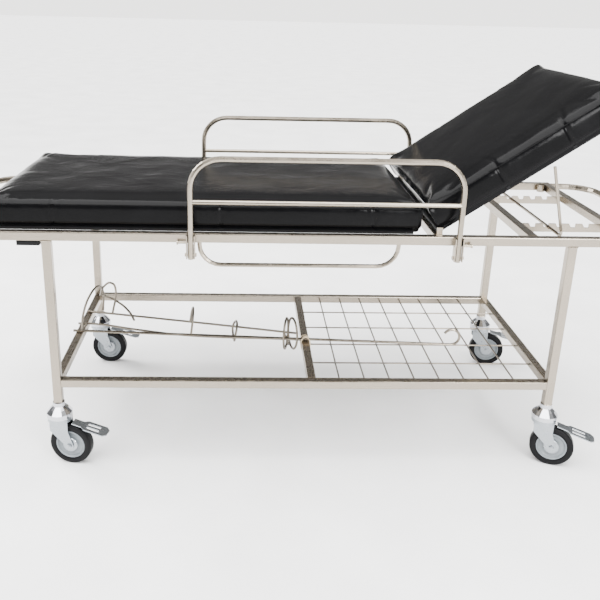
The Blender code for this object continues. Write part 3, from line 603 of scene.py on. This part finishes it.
def welt_points(piece, length, width, height):
    """Where a level ring at this height meets the pad's cover."""
    tree = BVHTree.FromObject(piece, bpy.context.evaluated_depsgraph_get())
    found = []
    half_x = length / 2 - PAD_CORNER
    half_y = width / 2 - PAD_CORNER
    for i in range(WELT_RAYS):
        angle = math.tau * i / WELT_RAYS
        out = Vector((math.cos(angle), math.sin(angle), 0))
        core = Vector((length / 2 + max(-half_x, min(half_x, out.x * length)),
                       max(-half_y, min(half_y, out.y * length)), height))
        start = core + out * 0.3
        hit = tree.ray_cast(start, -out, 0.5)[0]
        if hit:
            found.append(hit)
    return found


def even_ring(points, step):
    """The closed ring's points again, about one step apart."""
    ring = points + points[:1]
    spaced = [ring[0]]
    gone = 0.0
    for a, b in zip(ring, ring[1:]):
        gap = (b - a).length
        while gone + gap >= step:
            share = (step - gone) / gap
            a = a.lerp(b, share)
            spaced.append(a)
            gap = (b - a).length
            gone = 0.0
        gone += gap
    return spaced


def make_pad(name, body, node, size, seams, creases, seed, place):
    """A sewn pad with a welt round its upper edge, moved to its place."""
    length, width, height = size
    sizes = bpy.context.scene.trolley_sizes
    pad = pad_shape(length, width, height)
    sew(pad, length, width, height, seams, creases, seed)
    ring = even_ring(welt_points(pad, length, width, height * WELT_SHARE), WELT_STEP)
    welt = wire_piece([ring], sizes.welt, resolution=2, cyclic=True)
    for piece, label in ((pad, name), (welt, f"{name}_welt")):
        piece.matrix_world = place
        finish_piece(piece, label, body, "vinyl")
    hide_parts(node)


class TROLLEY_OT_mattress(bpy.types.Operator):
    """Makes the flat mattress section"""
    bl_idname = "trolley.mattress"
    bl_label = "Flat Mattress"
    wrap: bpy.props.FloatProperty(name="Wrap", default=0.85,
                                  description="Share of the board's edge that the cover wraps")
    squeeze: bpy.props.FloatProperty(name="Squeeze", default=0.014, unit="LENGTH",
                                     description="How far the pad is pressed to the backrest")

    def execute(self, context):
        low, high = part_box("flat_mattress")
        low[2] -= (low[2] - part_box("mattress_base_panel")[0][2]) * self.wrap
        high[0] += self.squeeze
        size = [high[i] - low[i] for i in range(3)]
        seams = [share * size[0] for share in (0.165, 0.538, 0.880)]
        creases = [(0.09, 0.4, 0.0012, 0.10), (0.20, -0.3, 0.0010, 0.05), (1.02, 0.4, 0.0010, 0.08),
                   (0.62, 0.3, 0.0008, 0.05)]
        place = Matrix.Translation((low[0], (low[1] + high[1]) / 2, low[2]))
        make_pad("mattress", "frame", "flat_mattress", size, seams, creases, 4, place)
        return {"FINISHED"}


class TROLLEY_OT_backrest(bpy.types.Operator):
    """Makes the raised backrest pad"""
    bl_idname = "trolley.backrest"
    bl_label = "Backrest Pad"
    tuck: bpy.props.FloatProperty(name="Tuck", default=0.012, unit="LENGTH",
                                  description="How far the pad's lower end hangs past its board")
    wrap: bpy.props.FloatProperty(name="Wrap", default=0.85,
                                  description="Share of the board's edge that the cover wraps")

    def execute(self, context):
        tilt = context.scene.trolley_sizes.tilt
        turn = Matrix.Rotation(-tilt, 4, "Y")
        cad = NODES["backrest_cushion"]
        level = [turn.inverted() @ (v.co - HINGE) for v in cad.data.vertices]
        low = Vector([min(p[i] for p in level) for i in range(3)])
        high = Vector([max(p[i] for p in level) for i in range(3)])
        board = [(turn.inverted() @ (v.co - HINGE)).z for v in NODES["backrest_board"].data.vertices]
        low.z -= (low.z - min(board)) * self.wrap
        low.x -= self.tuck
        size = high - low
        creases = [(0.24, 0.35, 0.0010, 0.06), (0.42, -0.4, 0.0012, 0.08)]
        place = Matrix.Translation(HINGE) @ turn @ Matrix.Translation((low.x, 0, low.z))
        seams = [size.x * 0.36, size.x * 0.68]
        make_pad("backrest", "backrest", "backrest_cushion", size, seams, creases, 9, place)
        return {"FINISHED"}


# --- castors --------------------------------------------------------------------------------------

def mirrored(profile):
    """The profile on the other side of the wheel's middle plane, run the other way."""
    return [(r, -z) for r, z in reversed(profile)]


class TROLLEY_OT_castors(bpy.types.Operator):
    """Makes the tyres, hubs and thread guards of the four castors"""
    bl_idname = "trolley.castors"
    bl_label = "Castors"

    def execute(self, context):
        for corner in CORNERS:
            spin = joint(f"{corner}_wheel_spin")
            centre = Vector(spin["pos_m"])
            axis = Vector(spin["axis"])
            turn = axis.to_track_quat("Z", "Y").to_matrix().to_4x4()
            place = Matrix.Translation(centre) @ turn
            wheel = f"{corner}_wheel"
            tyre = turned_piece(self.tyre_profile())
            tyre.matrix_world = place
            finish_piece(tyre, f"{corner}_wheel_tyre", wheel, "tyre", 40)
            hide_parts(f"{corner}_tyre")
            hub = turned_piece(self.hub_profile())
            hub.matrix_world = place
            finish_piece(hub, f"{corner}_wheel_hub", wheel, "hub", 30)
            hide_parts(f"{corner}_hub")
            for label, profile in (("guard", THREAD_GUARD), ("guard_far", mirrored(THREAD_GUARD))):
                guard = turned_piece(profile)
                guard.matrix_world = place
                finish_piece(guard, f"{corner}_thread_{label}", wheel, "zinc", 30)
        return {"FINISHED"}

    @staticmethod
    def tyre_profile():
        turns = [math.radians(15 * i) for i in range(1, 7)]
        shoulder = [(TYRE_OUTER - TYRE_ROUND + TYRE_ROUND * math.sin(a),
                     TYRE_HALF - TYRE_ROUND + TYRE_ROUND * math.cos(a)) for a in turns]
        seat = [(TYRE_INNER, TYRE_HALF - 0.0018), (TYRE_INNER + 0.0025, TYRE_HALF)]
        upper = [*seat, (TYRE_OUTER - 0.009, TYRE_HALF), *shoulder]
        return upper + mirrored(upper)

    @staticmethod
    def hub_profile():
        return [*HUB_HALF, *mirrored(HUB_HALF)]


# --- stowed gear ----------------------------------------------------------------------------------

class TROLLEY_OT_stowed_gear(bpy.types.Operator):
    """Makes the oxygen cylinder cage and the raffia tie"""
    bl_idname = "trolley.stowed_gear"
    bl_label = "Stowed Gear"

    def execute(self, context):
        self.make_cage(context.scene.trolley_sizes.wire)
        self.make_tie()
        return {"FINISHED"}

    @staticmethod
    def bent_wire(place, offsets):
        return [place + Vector(offset) for offset in offsets]

    @staticmethod
    def half_turn(near, far, share, bow, rise):
        """A wire that swings from the near rod to the far one, at a share of their length."""
        a = near[0].lerp(near[2], share)
        b = far[0].lerp(far[2], share)
        turns = [math.pi * i / ARC_STEPS for i in range(ARC_STEPS + 1)]
        return [a.lerp(b, 0.5 - 0.5 * math.cos(t)) + Vector((bow * math.sin(t), 0, rise * math.sin(t)))
                for t in turns]

    def make_cage(self, radius):
        """Two long rods, the wires bent round them, and two closed rings at the head end."""
        low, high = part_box("oxygen_cylinder_cage")
        rest = SHELF_TOP + radius + CAGE_LIFT
        near = [Vector((low[0] + 0.033, MIDDLE_Y - 0.010, rest)),
                Vector((CAGE_MIDDLE_X, MIDDLE_Y - 0.040, rest)),
                Vector((high[0] - 0.004, MIDDLE_Y - 0.066, rest))]
        far = [Vector((low[0] + 0.020, MIDDLE_Y + 0.146, rest)),
               Vector((CAGE_MIDDLE_X, MIDDLE_Y + 0.062, rest)),
               Vector((high[0] - 0.010, MIDDLE_Y - 0.020, rest))]
        corner = Vector((low[0] + 0.066, MIDDLE_Y + 0.100, SHELF_TOP + 0.018))
        keel = Vector((low[0] + 0.010, MIDDLE_Y + 0.045, rest))
        runs = [near, far]
        runs += [self.half_turn(near, far, *arc) for arc in CAGE_ARCS]
        for place, offsets in ((near[0], CAGE_HANDLE), (corner, CAGE_HOOP), (corner, CAGE_STRUT),
                               (keel, CAGE_KEEL), (keel, CAGE_TAIL)):
            runs.append(self.bent_wire(place, offsets))
        bars = wire_piece(runs, radius)
        finish_piece(bars, "cage_wires", "frame", "wire", 50)
        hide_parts("oxygen_cylinder_cage")
        rings = []
        for spot, lean in ((-0.052, 0.25), (-0.030, -0.35)):
            centre = Vector((high[0] + spot, MIDDLE_Y - 0.045, rest + 0.012))
            across = Vector((math.sin(lean), math.cos(lean), 0)) * RING_REACH
            turns = [math.tau * i / RING_POINTS for i in range(RING_POINTS)]
            rings.append([centre + across * math.cos(t) + Vector((0, 0, RING_RISE * math.sin(t)))
                          for t in turns])
        hoops = wire_piece(rings, radius, cyclic=True)
        finish_piece(hoops, "cage_hoops", "frame", "wire", 50)

    @staticmethod
    def make_tie():
        """A few turns of raffia round the pole and the middle bar."""
        low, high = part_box("middle_shelf_bar")
        centre = Vector(((low[0] + high[0]) / 2, MIDDLE_Y - 0.063, (low[2] + high[2]) / 2 + 0.004))
        half_x = (high[0] - low[0]) / 2 + 0.003
        half_z = (high[2] - low[2]) / 2 + 0.010
        turns = [math.tau * i / TIE_POINTS for i in range(TIE_POINTS)]
        runs = []
        for k in range(TIE_TURNS):
            lean = (k - 2) * TIE_PITCH
            runs.append([centre + Vector((half_x * math.cos(a), lean + TIE_WAVER * math.sin(a + k),
                                          half_z * math.sin(a))) for a in turns])
        bands = wire_piece(runs, TIE_STRAND, resolution=1, cyclic=True)
        finish_piece(bands, "raffia_tie", "frame", "tie")


# --- fittings -------------------------------------------------------------------------------------

class TROLLEY_OT_fittings(bpy.types.Operator):
    """Makes the weld beads on the legs and the rubber buffers"""
    bl_idname = "trolley.fittings"
    bl_label = "Fittings"

    def execute(self, context):
        bead = context.scene.trolley_sizes.bead
        for corner in CORNERS:
            low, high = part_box(f"{corner}_leg")
            self.weld_ring(low, high, bead, f"{corner}_leg_weld")
        for side in ("left", "right"):
            low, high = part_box(f"foot_{side}_leg")
            self.buffer(low, high, f"{side}_buffer_pad")
        return {"FINISHED"}

    @staticmethod
    def weld_ring(low, high, bead, name):
        """A rippled bead round the top of a square tube."""
        grow = bead * 0.3
        x0, y0, x1, y1 = low[0] - grow, low[1] - grow, high[0] + grow, high[1] + grow
        corners = [(x0, y0), (x1, y0), (x1, y1), (x0, y1)]
        ring = []
        for a, b in zip(corners, corners[1:] + corners[:1]):
            for i in range(WELD_STEPS):
                share = (i + 0.5) / WELD_STEPS
                ripple = bead * (0.6 + 0.25 * (i % 2))
                ring.append(Vector((a[0] + (b[0] - a[0]) * share, a[1] + (b[1] - a[1]) * share,
                                    high[2] - ripple)))
        piece = wire_piece([ring], bead, resolution=2, cyclic=True)
        finish_piece(piece, name, "frame", "steel_z", 60)

    @staticmethod
    def buffer(low, high, name):
        """A black rubber buffer under the rail, on the foot side of the leg."""
        length, _, depth = BUFFER_SIZE
        deselect_all()
        spot = (low[0] - BUFFER_GAP - length / 2, (low[1] + high[1]) / 2,
                RAIL_BOTTOM - depth / 2 - BUFFER_DROP)
        bpy.ops.mesh.primitive_cube_add(size=1.0, location=spot)
        piece = bpy.context.view_layer.objects.active
        piece.scale = BUFFER_SIZE
        bpy.ops.object.transform_apply(location=True, rotation=True, scale=True)
        edit(piece, lambda: bpy.ops.mesh.bevel(offset=BUFFER_ROUND, segments=3))
        finish_piece(piece, name, "frame", "black_plastic", 40)


class TROLLEY_OT_finishes(bpy.types.Operator):
    """Gives each solid of the frame its finish"""
    bl_idname = "trolley.finishes"
    bl_label = "Frame Finishes"

    def execute(self, context):
        slots = {row["node"]: row["material_slot"] for row in frame["record"]["subparts"]}
        for name, thing in NODES.items():
            if name == "shelf_mesh":
                finish = "wire"
            elif slots[name] in PLAIN_SLOTS:
                finish = slots[name]
            else:
                finish = f"steel_{tube_axis(name)}"
            thing.data.materials.clear()
            thing.data.materials.append(material(finish))
        return {"FINISHED"}


# --- stage ----------------------------------------------------------------------------------------

class TROLLEY_OT_stage(bpy.types.Operator):
    """Makes the floor, the lights and the camera"""
    bl_idname = "trolley.stage"
    bl_label = "Stage"

    def execute(self, context):
        scene = context.scene
        deselect_all()
        bpy.ops.mesh.primitive_plane_add(size=FLOOR_SIZE, location=(0, 0, -FLOOR_DROP))
        floor = bpy.context.view_layer.objects.active
        floor.name = "studio_floor"
        colour = scene.trolley_colours.floor
        floor.data.materials.append(speckled_material("studio_floor", colour, 0.6, 3.0, 0.0))
        self.make_world(scene)
        sun = bpy.data.lights.new("overhead_sun", "SUN")
        sun.energy = 11.0
        sun.angle = math.radians(70)
        holder = bpy.data.objects.new("overhead_sun", sun)
        scene.collection.objects.link(holder)
        holder.rotation_euler = (math.radians(14), math.radians(-10), 0)
        self.softbox("window_left", (-2.6, 1.2, 2.3), (0, 0, 0.7), (0.9, 1.5), 110.0)
        self.softbox("window_front", (1.6, -3.0, 1.7), (0, 0, 0.6), (1.2, 0.9), 110.0)
        self.make_camera(scene)
        return {"FINISHED"}

    @staticmethod
    def make_world(scene):
        """A pale room: bright above and in a low band at the skyline, dim between them."""
        world = bpy.data.worlds.new("studio")
        world.use_nodes = True
        tree = world.node_tree
        place = add_node(tree, "ShaderNodeTexCoord")
        height = add_node(tree, "ShaderNodeSeparateXYZ", links={"Vector": place.outputs["Generated"]})
        above = ranged(tree, height.outputs["Z"], 0.32, 1.6, 0.50, 0.85)
        skyline = ranged(tree, height.outputs["Z"], 2.6, 0.0, 0.03, 0.12)
        total = add_node(tree, "ShaderNodeMath", links={0: above, 1: skyline}, operation="ADD")
        tree.links.new(total.outputs[0], tree.nodes["Background"].inputs["Strength"])
        tree.nodes["Background"].inputs["Color"].default_value = (1.0, 0.99, 0.97, 1.0)
        scene.world = world

    @staticmethod
    def softbox(name, spot, target, size, power):
        light = bpy.data.lights.new(name, "AREA")
        light.shape = "RECTANGLE"
        light.size = size[0]
        light.size_y = size[1]
        light.energy = power
        holder = bpy.data.objects.new(name, light)
        bpy.context.scene.collection.objects.link(holder)
        holder.location = spot
        holder.rotation_euler = (Vector(target) - Vector(spot)).to_track_quat("-Z", "Y").to_euler()

    @staticmethod
    def make_camera(scene):
        """In front of the left side, above the mattress, turned slightly to the head end."""
        pitch = math.radians(18.70)
        yaw = math.radians(2.14)
        roll = math.radians(1.37)
        ahead = Vector((math.sin(yaw) * math.cos(pitch), math.cos(yaw) * math.cos(pitch),
                        -math.sin(pitch)))
        across = Vector((math.cos(yaw), -math.sin(yaw), 0))
        up = across.cross(ahead)
        right = across * math.cos(roll) + up * math.sin(roll)
        over = up * math.cos(roll) - across * math.sin(roll)
        lens = bpy.data.cameras.new("studio_camera")
        lens.sensor_width = 36.0
        lens.lens = 44.33
        lens.shift_x = 0.0526
        lens.shift_y = -0.0856
        camera = bpy.data.objects.new("studio_camera", lens)
        turned = Matrix((right, over, -ahead)).transposed().to_4x4()
        camera.matrix_world = Matrix.Translation(CAMERA_SPOT) @ turned
        scene.collection.objects.link(camera)
        scene.camera = camera


PIECE_OPERATORS = (
    TROLLEY_OT_finishes, TROLLEY_OT_mattress, TROLLEY_OT_backrest, TROLLEY_OT_castors,
    TROLLEY_OT_stowed_gear, TROLLEY_OT_fittings, TROLLEY_OT_stage,
)


class TROLLEY_PT_panel(bpy.types.Panel):
    """Lists the trolley's pieces"""
    bl_label = "Stretcher Trolley"
    bl_idname = "TROLLEY_PT_panel"
    bl_space_type = "VIEW_3D"
    bl_region_type = "UI"
    bl_category = "Trolley"

    def draw(self, context):
        for operator in PIECE_OPERATORS:
            self.layout.operator(operator.bl_idname)
        for source in (context.scene.trolley_sizes, context.scene.trolley_colours):
            for key in source.bl_rna.properties.keys():
                if key not in ("rna_type", "name"):
                    self.layout.prop(source, key)


CLASSES = (TrolleySizes, TrolleyColours, *PIECE_OPERATORS, TROLLEY_PT_panel)


def register():
    for item in CLASSES:
        bpy.utils.register_class(item)
    bpy.types.Scene.trolley_sizes = bpy.props.PointerProperty(type=TrolleySizes)
    bpy.types.Scene.trolley_colours = bpy.props.PointerProperty(type=TrolleyColours)


def unregister():
    del bpy.types.Scene.trolley_colours
    del bpy.types.Scene.trolley_sizes
    for item in reversed(CLASSES):
        bpy.utils.unregister_class(item)


def main():
    register()
    deselect_all()
    for operator in PIECE_OPERATORS:
        group_name, action = operator.bl_idname.split(".")
        getattr(getattr(bpy.ops, group_name), action)()


if __name__ == "__main__":
    main()
